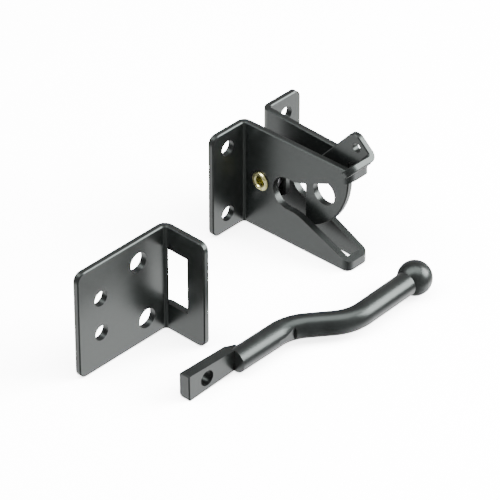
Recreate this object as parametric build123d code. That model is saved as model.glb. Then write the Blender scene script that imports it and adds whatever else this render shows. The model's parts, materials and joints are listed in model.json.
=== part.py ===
from build123d import *
from math import cos, radians, sin, sqrt
import os

# Adjustable gate latch, laid out as a set: latch body with gravity pawl, slotted guide bracket, strike bar.
# Millimetres. X runs out from the post towards the jaw tips, Y across the latch plates, Z up.
# The origin is the centre of the four post screws, on the face that lies against the post.

# Latch body, one folded sheet whose two plates draw together towards the jaw tips
SHEET = 3.0
BODY_HEIGHT = 50.0
BODY_DEPTH = 60.6
POST_GAP = 10.0
TIP_GAP = 6.9
FLANGE_SPAN = 53.4
FLANGE_CORNER = 4.0
FLANGE_BEND = 1.2
TIP_BEND = 0.4
EDGE_BREAK = 0.45

# Mouth of the latch, cut through both plates
MOUTH_Z = -0.5
THROAT_CLEARANCE = 5.2
THROAT_END = 19.1
FLARE_START = 32.1
JAW_TIP = 5.0
FLARE_ROUND = 16.0

# Post screw holes, two in each flange
SCREW_HOLE = 7.1
SCREW_SPAN = 35.4
SCREW_PITCH = 32.7

# Pivot rivet and its spacers
PIVOT_X = 12.3
PIVOT_Z = -0.5
RIVET_SHANK = 6.4
RIVET_RIM = 8.6
RIVET_RIM_RISE = 0.9
RIVET_RIM_BEVEL = 0.45
RIVET_BORE = 4.6
RIVET_BORE_DEPTH = 6.0
RIVET_BORE_CONE = 1.0
RIVET_HEAD = 11.0
RIVET_HEAD_RISE = 2.2
RIVET_HEAD_BEVEL = 1.3
RUNNING_CLEARANCE = 0.08
SIDE_CLEARANCE = 0.15
SPACER_DIAMETER = 12.0

# Pawl, one stamped plate, measured from the pivot
PAWL_SHEET = 3.0
HUB_RADIUS = 8.2
HUB_FOOT_ROUND = 3.0
NOTCH_CLEARANCE = 1.0
NOTCH_TOP = 8.4
NOSE_RADIUS = 34.0
NOSE_CENTRE_Z = 16.2
NOSE_CLEARANCE = 2.2
NOSE_TIP_ROUND = 3.0
PADLOCK_HOLE = 11.8
PADLOCK_SET = 1.45
PADLOCK_Z = 4.9
PAWL_REST = 0.3
LEVER_ANGLE = 48.6
LEVER_OVERHANG = 2.2
LEVER_WIDTH = 14.7
LEVER_RISE = 3.9
LEVER_CORNER = 4.0
LEVER_ROOT_Z = 18.0
LEVER_ROOT_ROUND = 6.0
LEVER_LEDGE_ROUND = 1.5
CORD_HOLE = 4.1
CORD_HOLE_INSET = 4.6
CORD_HOLE_OFFSET = 6.2
THUMB_LENGTH = 5.5
THUMB_REACH = 14.6
THUMB_BEND = 0.8

# Guide bracket, one folded angle, measured from its inner corner
BRACKET_HEIGHT = 50.6
BRACKET_WIDTH = 48.9
BRACKET_REACH = 21.6
BRACKET_BEND = 1.6
BRACKET_CORNER = 4.0
SLOT_CLEARANCE = 0.3
SLOT_HEIGHT = 27.0
SLOT_INSET = 1.75
SLOT_LIFT = 12.8
SMALL_HOLE = 7.0
SMALL_HOLE_INSET = 12.5
SMALL_HOLE_PITCH = 16.7
LARGE_HOLE = 9.0
LARGE_HOLE_PITCH = 29.7
LARGE_HOLE_UPPER_INSET = 33.8
LARGE_HOLE_LOWER_INSET = 38.2

# Strike bar, one forged bar, measured from its tongue end
ROD = 10.2
BALL = 15.0
BALL_CENTRE = 116.5
JOG = 16.4
JOG_START = 56.8
JOG_END = 76.8
JOG_RETURN = 1.1
JOG_BEND = 20.0
PRESS_END = 55.4
PRESS_LENGTH = 9.0
PRESS_DEPTH = 0.1
TONGUE_LENGTH = 25.7
TONGUE_END_HEIGHT = 12.0
TONGUE_ROOT_HEIGHT = 9.9
TONGUE_THICKNESS = 5.8
TONGUE_SET = 0.6
TONGUE_BACK_ROUND = 1.6
TONGUE_STEP = 0.15
TONGUE_RUNOUT = 5.0
TONGUE_RUNOUT_TAPER = 16.0
TONGUE_HOLE = 7.0
TONGUE_HOLE_INSET = 10.2

# Where the bracket's inner corner and the bar's tongue end stand beside the latch body
BRACKET_X = 32.2
BRACKET_Y = -85.0
BAR_X = 74.1
BAR_Y = -114.2

FLOOR = -BODY_HEIGHT / 2
THROUGH = 2 * FLANGE_SPAN
THROAT_WIDTH = ROD + THROAT_CLEARANCE
NOTCH_WIDTH = ROD + NOTCH_CLEARANCE
SLOT_WIDTH = ROD + SLOT_CLEARANCE

# Pawl edges that follow from the body, measured from the pivot. The lever leans, so its own edges are
# measured along and across it.
NOSE_BACK = HUB_RADIUS + NOTCH_WIDTH
NOSE_FRONT = BODY_DEPTH - SHEET - NOSE_CLEARANCE - PIVOT_X
LEDGE_X = BODY_DEPTH + LEVER_OVERHANG - PIVOT_X
LEDGE_Z = BODY_HEIGHT / 2 + PAWL_REST - PIVOT_Z
LEVER_COS = cos(radians(LEVER_ANGLE))
LEVER_SIN = sin(radians(LEVER_ANGLE))
LEVER_OUTER = LEDGE_X * LEVER_SIN - LEDGE_Z * LEVER_COS
LEVER_INNER = LEVER_OUTER - LEVER_WIDTH
THUMB_START = LEDGE_X * LEVER_COS + LEDGE_Z * LEVER_SIN + LEVER_RISE
LEVER_END = THUMB_START + THUMB_LENGTH


def folded_sheet(path, radii, height):
    """A sheet standing on the floor whose middle follows a path seen from above, with rounded bends."""
    middle = FilletPolyline(*path, radius=radii)
    return Pos(0, 0, FLOOR) * extrude(trace(middle, line_width=SHEET), amount=height)


def across_plates(profile, thickness):
    """A profile drawn in X and Z, made thick evenly to both sides of the middle plane."""
    return extrude(Plane.XZ * profile, amount=thickness / 2, both=True)


def bore_along_x(diameter, x, y, z):
    return Pos(x, y, z) * Rot(Y=90) * Cylinder(diameter / 2, THROUGH)


def bore_along_y(diameter, x, z):
    return Pos(x, 0, z) * Rot(X=90) * Cylinder(diameter / 2, THROUGH)


def corner_at(shape, point):
    """The vertex of a shape that lies nearest to a point."""
    return shape.vertices().sort_by_distance(point)[0]


def sharp_edges(solid):
    """The edges where a solid's surface turns a corner, without the seams of its bends and rounds."""
    faces = [(face, face.edges()) for face in solid.faces()]
    found = []
    for edge in solid.edges():
        middle = edge @ 0.5
        normals = [face.normal_at(middle) for face, edges in faces if edge in edges]
        if len(normals) == 2 and normals[0].get_angle(normals[1]) > 30:
            found.append(edge)
    return found


def eased(solid, joint=None):
    """A solid with its sharp edges broken, as coated sheet has them, but not where it joins another."""
    edges = sharp_edges(solid)
    if joint:
        edges = [edge for edge in edges if not joint.contains(edge @ 0.5)]
    return chamfer(edges, EDGE_BREAK)


def half_gap(x):
    """Half the room between the two plates, at a distance from the post."""
    share = (x - SHEET / 2) / (BODY_DEPTH - SHEET)
    return (POST_GAP + share * (TIP_GAP - POST_GAP)) / 2


def mouth_profile():
    half = THROAT_WIDTH / 2
    throat_centre = THROAT_END + half
    beyond = BODY_DEPTH + SHEET
    flare = (BODY_HEIGHT / 2 - JAW_TIP - half) / (BODY_DEPTH - FLARE_START)
    half_beyond = half + (beyond - FLARE_START) * flare
    mouth = make_face(Polyline(
        (throat_centre, half),
        (FLARE_START, half),
        (beyond, half_beyond),
        (beyond, -half_beyond),
        (FLARE_START, -half),
        (throat_centre, -half),
        close=True,
    ))
    flare_corners = [corner_at(mouth, (FLARE_START, side * half)) for side in (-1, 1)]
    mouth = fillet(flare_corners, FLARE_ROUND)
    return Pos(0, MOUTH_Z) * (mouth + Pos(throat_centre, 0) * Circle(half))


def latch_body():
    post_y = (POST_GAP + SHEET) / 2
    tip_y = (TIP_GAP + SHEET) / 2
    tip_x = BODY_DEPTH - SHEET / 2
    flange_x = SHEET / 2
    path = [
        (flange_x, -FLANGE_SPAN / 2),
        (flange_x, -post_y),
        (tip_x, -tip_y),
        (tip_x, tip_y),
        (flange_x, post_y),
        (flange_x, FLANGE_SPAN / 2),
    ]
    flange_radius = FLANGE_BEND + SHEET / 2
    tip_radius = TIP_BEND + SHEET / 2
    body = folded_sheet(path, [flange_radius, tip_radius, tip_radius, flange_radius], BODY_HEIGHT)
    corners = body.edges().filter_by(Axis.X).group_by(Axis.Y)
    body = eased(fillet(corners[0] + corners[-1], FLANGE_CORNER))
    body -= across_plates(mouth_profile(), THROUGH)
    body -= bore_along_y(RIVET_SHANK, PIVOT_X, PIVOT_Z)
    for side in (-1, 1):
        for level in (-1, 1):
            body -= bore_along_x(SCREW_HOLE, 0, side * SCREW_SPAN / 2, level * SCREW_PITCH / 2)
    return body


def lever_point(along, across):
    """A point of the pawl's lever, measured along it from the pivot and across it towards the thumb side."""
    return (along * LEVER_COS + across * LEVER_SIN, along * LEVER_SIN - across * LEVER_COS)


def lever_joint():
    """The plane across the lever where its thumb flange starts."""
    along = Vector(LEVER_COS, 0, LEVER_SIN)
    across = Vector(LEVER_SIN, 0, -LEVER_COS)
    return Plane(origin=along * THUMB_START, x_dir=across, z_dir=along)


def pawl_outline():
    """The flat of the pawl: hub, notch for the bar, nose, ledge over the jaw tips, and lever."""
    notch_round = NOTCH_WIDTH / 2
    notch_spring = NOTCH_TOP - notch_round
    nose_centre_x = NOSE_FRONT - NOSE_RADIUS
    nose_low = NOSE_CENTRE_Z - sqrt(NOSE_RADIUS**2 - (NOSE_BACK - nose_centre_x)**2)
    root_x = (LEVER_INNER + LEVER_ROOT_Z * LEVER_COS) / LEVER_SIN
    face = make_face([
        ThreePointArc((0, HUB_RADIUS), (-HUB_RADIUS, 0), (0, -HUB_RADIUS)),
        Polyline((0, -HUB_RADIUS), (HUB_RADIUS, -HUB_RADIUS), (HUB_RADIUS, notch_spring)),
        ThreePointArc(
            (HUB_RADIUS, notch_spring),
            (HUB_RADIUS + notch_round, NOTCH_TOP),
            (NOSE_BACK, notch_spring),
        ),
        Line((NOSE_BACK, notch_spring), (NOSE_BACK, nose_low)),
        RadiusArc((NOSE_BACK, nose_low), (NOSE_FRONT, NOSE_CENTRE_Z), -NOSE_RADIUS),
        Polyline(
            (NOSE_FRONT, NOSE_CENTRE_Z),
            (NOSE_FRONT, LEDGE_Z),
            (LEDGE_X, LEDGE_Z),
            lever_point(THUMB_START, LEVER_OUTER),
            lever_point(THUMB_START, LEVER_INNER),
            (root_x, LEVER_ROOT_Z),
            (0, HUB_RADIUS),
        ),
    ])
    rounds = [
        ((HUB_RADIUS, -HUB_RADIUS), HUB_FOOT_ROUND),
        ((NOSE_BACK, nose_low), NOSE_TIP_ROUND),
        ((LEDGE_X, LEDGE_Z), LEVER_LEDGE_ROUND),
        ((root_x, LEVER_ROOT_Z), LEVER_ROOT_ROUND),
    ]
    for point, radius in rounds:
        face = fillet(corner_at(face, point), radius)
    return face


def lever_end():
    """The end of the lever with its thumb flange, an angle section run out along the lever."""
    half = PAWL_SHEET / 2
    thumb_edge = -THUMB_REACH
    thumb_inner = LEVER_OUTER - PAWL_SHEET
    section = make_face(Polyline(
        (LEVER_INNER, half),
        (LEVER_OUTER, half),
        (LEVER_OUTER, thumb_edge),
        (thumb_inner, thumb_edge),
        (thumb_inner, -half),
        (LEVER_INNER, -half),
        close=True,
    ))
    section = fillet(corner_at(section, (LEVER_OUTER, half)), THUMB_BEND + PAWL_SHEET)
    section = fillet(corner_at(section, (thumb_inner, -half)), THUMB_BEND)
    end = extrude(lever_joint() * section, amount=THUMB_LENGTH)
    tip_x, tip_z = lever_point(LEVER_END, LEVER_INNER)
    thumb_x, thumb_z = lever_point(LEVER_END, LEVER_OUTER - PAWL_SHEET / 2)
    corners = [
        end.edges().sort_by_distance((tip_x, 0, tip_z))[0],
        end.edges().sort_by_distance((thumb_x, thumb_edge, thumb_z))[0],
    ]
    return eased(fillet(corners, LEVER_CORNER), lever_joint())


def pawl():
    body = eased(across_plates(pawl_outline(), PAWL_SHEET), lever_joint()) + lever_end()
    cord_x, cord_z = lever_point(LEVER_END - CORD_HOLE_INSET, LEVER_INNER + CORD_HOLE_OFFSET)
    body -= bore_along_y(RIVET_SHANK + 2 * RUNNING_CLEARANCE, 0, 0)
    body -= bore_along_y(PADLOCK_HOLE, (NOSE_BACK + NOSE_FRONT) / 2 - PADLOCK_SET, PADLOCK_Z)
    body -= bore_along_y(CORD_HOLE, cord_x, cord_z)
    return Pos(PIVOT_X, 0, PIVOT_Z) * body


def pivot_rivet():
    """A semi-tubular rivet: bevelled head behind the rear plate, hollow end rolled over in front."""
    bore = RIVET_BORE / 2
    rim = RIVET_RIM / 2
    shank = RIVET_SHANK / 2
    head = RIVET_HEAD / 2
    front = -half_gap(PIVOT_X - rim) - SHEET
    rear = half_gap(PIVOT_X - head) + SHEET
    rim_top = front - RIVET_RIM_RISE
    head_top = rear + RIVET_HEAD_RISE
    bore_end = front + RIVET_BORE_DEPTH
    profile = make_face(Polyline(
        (0, bore_end + RIVET_BORE_CONE),
        (bore, bore_end),
        (bore, rim_top + RIVET_RIM_BEVEL),
        (bore + RIVET_RIM_BEVEL, rim_top),
        (rim - RIVET_RIM_BEVEL, rim_top),
        (rim, rim_top + RIVET_RIM_BEVEL),
        (rim, front),
        (shank, front),
        (shank, rear),
        (head, rear),
        (head, head_top - RIVET_HEAD_BEVEL),
        (head - RIVET_HEAD_BEVEL, head_top),
        (0, head_top),
        close=True,
    ))
    return Pos(PIVOT_X, 0, PIVOT_Z) * revolve(profile, axis=Axis.Y)


def pivot_spacers():
    """Two washers on the rivet that hold the pawl in the middle of the gap."""
    outer = SPACER_DIAMETER / 2
    wall = half_gap(PIVOT_X + outer)
    thickness = wall - PAWL_SHEET / 2 - SIDE_CLEARANCE
    washer = Cylinder(outer, thickness) - Cylinder(RIVET_SHANK / 2 + RUNNING_CLEARANCE, thickness)
    centre = wall - thickness / 2
    return Compound([Pos(PIVOT_X, side * centre, PIVOT_Z) * Rot(X=90) * washer for side in (-1, 1)])


def bracket_slot():
    """The slot, drawn from above with its inner wall leaning back round the bend, and carried up."""
    before = -BRACKET_BEND
    behind = 2 * SHEET
    plan = make_face(Polyline(
        (SLOT_INSET, before),
        (SLOT_INSET + SLOT_WIDTH, before),
        (SLOT_INSET + SLOT_WIDTH, behind),
        (SLOT_INSET - behind, behind),
        (SLOT_INSET, 0),
        close=True,
    ))
    return Pos(0, 0, FLOOR + SLOT_LIFT) * extrude(plan, amount=SLOT_HEIGHT)


def guide_bracket():
    middle = SHEET / 2
    path = [(-middle, -BRACKET_WIDTH), (-middle, middle), (BRACKET_REACH, middle)]
    bracket = folded_sheet(path, BRACKET_BEND + middle, BRACKET_HEIGHT)
    plate_corners = bracket.edges().filter_by(Axis.X).group_by(Axis.Y)[0]
    flange_corners = bracket.edges().filter_by(Axis.Y).group_by(Axis.X)[-1]
    bracket = fillet(plate_corners + flange_corners, BRACKET_CORNER)
    bracket = eased(bracket) - bracket_slot()
    mid_z = FLOOR + BRACKET_HEIGHT / 2
    holes = [
        (SMALL_HOLE, SMALL_HOLE_INSET, SMALL_HOLE_PITCH / 2),
        (SMALL_HOLE, SMALL_HOLE_INSET, -SMALL_HOLE_PITCH / 2),
        (LARGE_HOLE, LARGE_HOLE_UPPER_INSET, LARGE_HOLE_PITCH / 2),
        (LARGE_HOLE, LARGE_HOLE_LOWER_INSET, -LARGE_HOLE_PITCH / 2),
    ]
    for diameter, inset, height in holes:
        bracket -= bore_along_x(diameter, 0, inset - BRACKET_WIDTH, mid_z + height)
    return Pos(BRACKET_X, BRACKET_Y, 0) * bracket


def tongue():
    """The pressed end of the bar: flat in front, rounded behind, and spread in height towards its end."""
    end = TONGUE_END_HEIGHT / 2
    root = TONGUE_ROOT_HEIGHT / 2
    side = make_face(Polyline(
        (0, -end),
        (TONGUE_LENGTH, -root),
        (TONGUE_LENGTH, root),
        (0, end),
        close=True,
    ))
    flat = Pos(-TONGUE_SET - TONGUE_THICKNESS, 0, 0) * extrude(Plane.YZ * side, amount=TONGUE_THICKNESS)
    long_edges = flat.edges() - flat.edges().filter_by(Axis.X) - flat.edges().filter_by(Axis.Z)
    flat = fillet(long_edges.group_by(Axis.X)[0], TONGUE_BACK_ROUND)
    return chamfer(flat.edges().group_by(Axis.Y)[0], EDGE_BREAK)


def tongue_runout():
    """The tongue's root, a small step in, drawn in further until it is lost in the round bar."""
    root = Rectangle(TONGUE_THICKNESS - 2 * TONGUE_STEP, TONGUE_ROOT_HEIGHT - 2 * TONGUE_STEP)
    root = fillet(root.vertices().group_by(Axis.X)[0], TONGUE_BACK_ROUND - TONGUE_STEP)
    middle = -TONGUE_SET - TONGUE_THICKNESS / 2
    shoulder = Plane(origin=(middle, TONGUE_LENGTH, 0), x_dir=(1, 0, 0), z_dir=(0, 1, 0))
    return extrude(shoulder * root, amount=TONGUE_RUNOUT, taper=TONGUE_RUNOUT_TAPER)


def press_mark():
    """What the bending tool pressed flat on the inner side of the first bend, up to an upright crease."""
    mark = Box(JOG, PRESS_LENGTH, 2 * ROD, align=(Align.MIN, Align.MAX, Align.CENTER))
    return Pos(ROD / 2 - PRESS_DEPTH, PRESS_END, 0) * mark


def strike_bar():
    """A round bar with a jog, a ball at one end, and the other end pressed to a drilled, spread tongue."""
    axis = FilletPolyline(
        (0, TONGUE_LENGTH),
        (0, JOG_START),
        (JOG, JOG_END),
        (JOG - JOG_RETURN, BALL_CENTRE),
        radius=JOG_BEND,
    )
    rod = sweep(Plane(origin=axis @ 0, z_dir=axis % 0) * Circle(ROD / 2), path=axis)
    ball = Pos(JOG - JOG_RETURN, BALL_CENTRE, 0) * Sphere(BALL / 2)
    bar = rod - press_mark() + ball + tongue() + tongue_runout()
    bar -= bore_along_x(TONGUE_HOLE, 0, TONGUE_HOLE_INSET, 0)
    lean = degrees_up(BALL / 2 - TONGUE_END_HEIGHT / 2, BALL_CENTRE)
    return Pos(BAR_X, BAR_Y, FLOOR) * Rot(X=lean) * Pos(0, 0, TONGUE_END_HEIGHT / 2) * bar


def degrees_up(rise, run):
    return Vector(run, 0).get_angle(Vector(run, rise))


os.makedirs("parts", exist_ok=True)
export_step(latch_body(), "parts/latch_body.step")
export_step(pawl(), "parts/pawl.step")
export_step(pivot_rivet(), "parts/pivot_rivet.step")
export_step(pivot_spacers(), "parts/pivot_spacers.step")
export_step(guide_bracket(), "parts/guide_bracket.step")
export_step(strike_bar(), "parts/strike_bar.step")
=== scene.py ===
import json
import math

import bpy
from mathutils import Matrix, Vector


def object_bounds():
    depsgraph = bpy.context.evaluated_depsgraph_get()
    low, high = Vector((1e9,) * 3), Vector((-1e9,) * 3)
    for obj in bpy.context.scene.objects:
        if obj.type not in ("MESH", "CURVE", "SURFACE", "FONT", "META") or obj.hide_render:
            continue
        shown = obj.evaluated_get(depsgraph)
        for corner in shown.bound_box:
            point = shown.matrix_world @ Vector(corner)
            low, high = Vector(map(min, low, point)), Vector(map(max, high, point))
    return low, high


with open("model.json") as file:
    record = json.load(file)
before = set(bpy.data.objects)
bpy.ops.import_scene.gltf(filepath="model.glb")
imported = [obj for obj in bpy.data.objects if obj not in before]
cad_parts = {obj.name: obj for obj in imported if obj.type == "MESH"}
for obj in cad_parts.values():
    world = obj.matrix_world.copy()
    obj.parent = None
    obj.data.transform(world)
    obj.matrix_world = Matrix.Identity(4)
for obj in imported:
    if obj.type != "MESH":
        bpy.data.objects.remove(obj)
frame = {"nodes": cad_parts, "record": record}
cad_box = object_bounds()

MM = 0.001

# Camera at the photograph's angle. Azimuth 0 looks along +Y, as for the lights.
VIEW_AZIMUTH = 43.24
VIEW_ELEVATION = 35.15
VIEW_TARGET = Vector((33.88, -37.19, -10.17)) * MM
VIEW_DISTANCE = 1641.4 * MM
VIEW_FAR = 100.0
LENS = 288.0
SENSOR = 36.0

# Soft square lights: azimuth and elevation in degrees, distance and size in metres, power in watts
LIGHTS = {
    "key": (-35.0, 62.0, 1.3, 1.0, 85.0),
    "fill": (120.0, 75.0, 1.3, 1.0, 75.0),
    "low": (140.0, 27.0, 1.2, 0.8, 150.0),
}

# Surround that the coat mirrors: dim, with a soft glow low down behind the part and another before it
SURROUND_AZIMUTH = 137.0
SURROUND_BASE = 0.8
GLOW_BEHIND = 16.0
GLOW_BEFORE = 10.0
GLOW_TURN = 0.5
GLOW_START_Z = -0.30
GLOW_FULL_Z = -0.60

# Floor: its width in metres, and the size of its faint clouds in millimetres
FLOOR_SIZE = 12.0
FLOOR_CLOUD = 120.0
FLOOR_ROUGHNESS = 0.9
FLOOR_GLOW = 4.0
FLOOR_COLOURS = ((0.90, 0.90, 0.90), (0.93, 0.93, 0.93))

# Finishes: darkest and palest colour, lowest and highest roughness, mirror strength and its tint,
# then the size of the mottle and of the fine peel, and the depth of the peel, in millimetres
COAT = {
    "colours": ((0.0022, 0.0024, 0.0023), (0.0036, 0.0039, 0.0038)),
    "roughness": (0.28, 0.32),
    "specular": 0.12,
    "tint": (0.88, 1.0, 0.96),
    "metallic": 0.0,
    "mottle": 9.0,
    "peel": 1.2,
    "peel_depth": 0.006,
}
ZINC = {
    "colours": ((0.44, 0.42, 0.17), (0.78, 0.75, 0.42)),
    "roughness": (0.22, 0.34),
    "specular": 0.5,
    "tint": (1.0, 1.0, 1.0),
    "metallic": 1.0,
    "mottle": 2.5,
    "peel": 0.5,
    "peel_depth": 0.02,
}
STEEL = {
    "colours": ((0.30, 0.30, 0.31), (0.46, 0.46, 0.47)),
    "roughness": (0.30, 0.45),
    "specular": 0.5,
    "tint": (1.0, 1.0, 1.0),
    "metallic": 1.0,
    "mottle": 4.0,
    "peel": 0.5,
    "peel_depth": 0.02,
}
PEEL_STRENGTH = 0.5
PEEL_DETAIL = 2.0
MOTTLE_DETAIL = 4.0
FLOOR_DETAIL = 2.0

# The part of the noise that the colours and the roughness spread over
CLOUD_LOW = 0.3
CLOUD_HIGH = 0.7


def linked_noise(nodes, links, feature, detail):
    """Noise whose features are about the given size in millimetres."""
    coordinates = nodes.new("ShaderNodeTexCoord")
    noise = nodes.new("ShaderNodeTexNoise")
    noise.inputs["Scale"].default_value = 1.0 / (feature * MM)
    noise.inputs["Detail"].default_value = detail
    links.new(coordinates.outputs["Object"], noise.inputs["Vector"])
    return noise.outputs["Fac"]


def linked_colours(nodes, links, value, colours):
    """Two colours mixed by a value, with flat ends."""
    ramp = nodes.new("ShaderNodeValToRGB")
    for element, place, colour in zip(ramp.color_ramp.elements, (CLOUD_LOW, CLOUD_HIGH), colours):
        element.position = place
        element.color = (*colour, 1.0)
    links.new(value, ramp.inputs["Fac"])
    return ramp.outputs["Color"]


def linked_range(nodes, links, value, start, end, interpolation="LINEAR"):
    """A value taken from one range to another and held at its ends."""
    ranged = nodes.new("ShaderNodeMapRange")
    ranged.interpolation_type = interpolation
    ranged.inputs["From Min"].default_value = start[0]
    ranged.inputs["From Max"].default_value = start[1]
    ranged.inputs["To Min"].default_value = end[0]
    ranged.inputs["To Max"].default_value = end[1]
    links.new(value, ranged.inputs["Value"])
    return ranged.outputs["Result"]


def linked_product(nodes, links, first, second, added=0.0):
    """Two values multiplied, with a number added."""
    product = nodes.new("ShaderNodeMath")
    product.operation = "MULTIPLY_ADD"
    product.inputs[2].default_value = added
    links.new(first, product.inputs[0])
    links.new(second, product.inputs[1])
    return product.outputs["Value"]


def new_material(name):
    material = bpy.data.materials.new(name)
    material.use_nodes = True
    nodes = material.node_tree.nodes
    return material, nodes, material.node_tree.links, nodes["Principled BSDF"]


def procedural(name, colours, roughness, specular, tint, metallic, mottle, peel, peel_depth):
    """A finish with mottled colour and gloss, and a fine peel on its surface."""
    material, nodes, links, shader = new_material(name)
    shader.inputs["Metallic"].default_value = metallic
    shader.inputs["Specular IOR Level"].default_value = specular
    shader.inputs["Specular Tint"].default_value = (*tint, 1.0)

    cloud = linked_noise(nodes, links, mottle, MOTTLE_DETAIL)
    links.new(linked_colours(nodes, links, cloud, colours), shader.inputs["Base Color"])
    gloss = linked_range(nodes, links, cloud, (CLOUD_LOW, CLOUD_HIGH), roughness)
    links.new(gloss, shader.inputs["Roughness"])

    bump = nodes.new("ShaderNodeBump")
    bump.inputs["Strength"].default_value = PEEL_STRENGTH
    bump.inputs["Distance"].default_value = peel_depth * MM
    links.new(linked_noise(nodes, links, peel, PEEL_DETAIL), bump.inputs["Height"])
    links.new(bump.outputs["Normal"], shader.inputs["Normal"])
    return material


def dress_nodes():
    finishes = {
        "coat": procedural("satin_black_coat", **COAT),
        "rivet": procedural("yellow_zinc", **ZINC),
        "spacers": procedural("plain_steel", **STEEL),
    }
    for subpart in frame["record"]["subparts"]:
        mesh = frame["nodes"][subpart["node"]].data
        mesh.materials.clear()
        mesh.materials.append(finishes[subpart["material_slot"]])


def floor():
    """A plain pale light table under the part. The glossy coat mirrors the surround in its place."""
    bpy.ops.mesh.primitive_plane_add(size=FLOOR_SIZE, location=(0, 0, cad_box[0].z))
    plane = bpy.context.object
    plane.name = "floor"
    material, nodes, links, shader = new_material("pale_floor")
    shader.inputs["Roughness"].default_value = FLOOR_ROUGHNESS
    shader.inputs["Specular IOR Level"].default_value = 0.0
    shader.inputs["Emission Color"].default_value = (1.0, 1.0, 1.0, 1.0)
    shader.inputs["Emission Strength"].default_value = FLOOR_GLOW
    cloud = linked_noise(nodes, links, FLOOR_CLOUD, FLOOR_DETAIL)
    links.new(linked_colours(nodes, links, cloud, FLOOR_COLOURS), shader.inputs["Base Color"])
    plane.data.materials.append(material)
    plane.visible_glossy = False


def towards(azimuth, elevation):
    """The direction from the part to a camera or light."""
    a = math.radians(azimuth)
    e = math.radians(elevation)
    return Vector((math.sin(a) * math.cos(e), -math.cos(a) * math.cos(e), math.sin(e)))


def aimed(name, data, target, back, distance):
    """An object for a camera or light that looks back at its target."""
    thing = bpy.data.objects.new(name, data)
    thing.location = target + back * distance
    thing.rotation_mode = "QUATERNION"
    thing.rotation_quaternion = (-back).to_track_quat("-Z", "Y")
    bpy.context.scene.collection.objects.link(thing)
    return thing


def surround():
    """A dim white studio whose glow lies below the horizon, along one line through the part."""
    world = bpy.data.worlds.new("studio")
    world.use_nodes = True
    nodes = world.node_tree.nodes
    links = world.node_tree.links
    background = nodes["Background"]
    background.inputs["Color"].default_value = (1.0, 1.0, 1.0, 1.0)

    coordinates = nodes.new("ShaderNodeTexCoord")
    along = nodes.new("ShaderNodeVectorMath")
    along.operation = "DOT_PRODUCT"
    along.inputs[1].default_value = towards(SURROUND_AZIMUTH, 0.0)
    links.new(coordinates.outputs["Generated"], along.inputs[0])
    share = along.outputs["Value"]
    parts = nodes.new("ShaderNodeSeparateXYZ")
    links.new(coordinates.outputs["Generated"], parts.inputs["Vector"])

    peak = linked_range(nodes, links, share, (-GLOW_TURN, GLOW_TURN), (GLOW_BEFORE, GLOW_BEHIND))
    glow = linked_product(nodes, links, linked_product(nodes, links, share, share), peak)
    depth = (GLOW_START_Z, GLOW_FULL_Z)
    below = linked_range(nodes, links, parts.outputs["Z"], depth, (0.0, 1.0), "SMOOTHSTEP")
    strength = linked_product(nodes, links, glow, below, SURROUND_BASE)
    links.new(strength, background.inputs["Strength"])
    bpy.context.scene.world = world


def lights():
    centre = (cad_box[0] + cad_box[1]) / 2
    for name, (azimuth, elevation, distance, size, power) in LIGHTS.items():
        light = bpy.data.lights.new(name, "AREA")
        light.size = size
        light.energy = power
        aimed(name, light, centre, towards(azimuth, elevation), distance)


def camera():
    data = bpy.data.cameras.new("camera")
    data.lens = LENS
    data.sensor_width = SENSOR
    data.clip_end = VIEW_FAR
    back = towards(VIEW_AZIMUTH, VIEW_ELEVATION)
    bpy.context.scene.camera = aimed("camera", data, VIEW_TARGET, back, VIEW_DISTANCE)


dress_nodes()
floor()
surround()
lights()
camera()
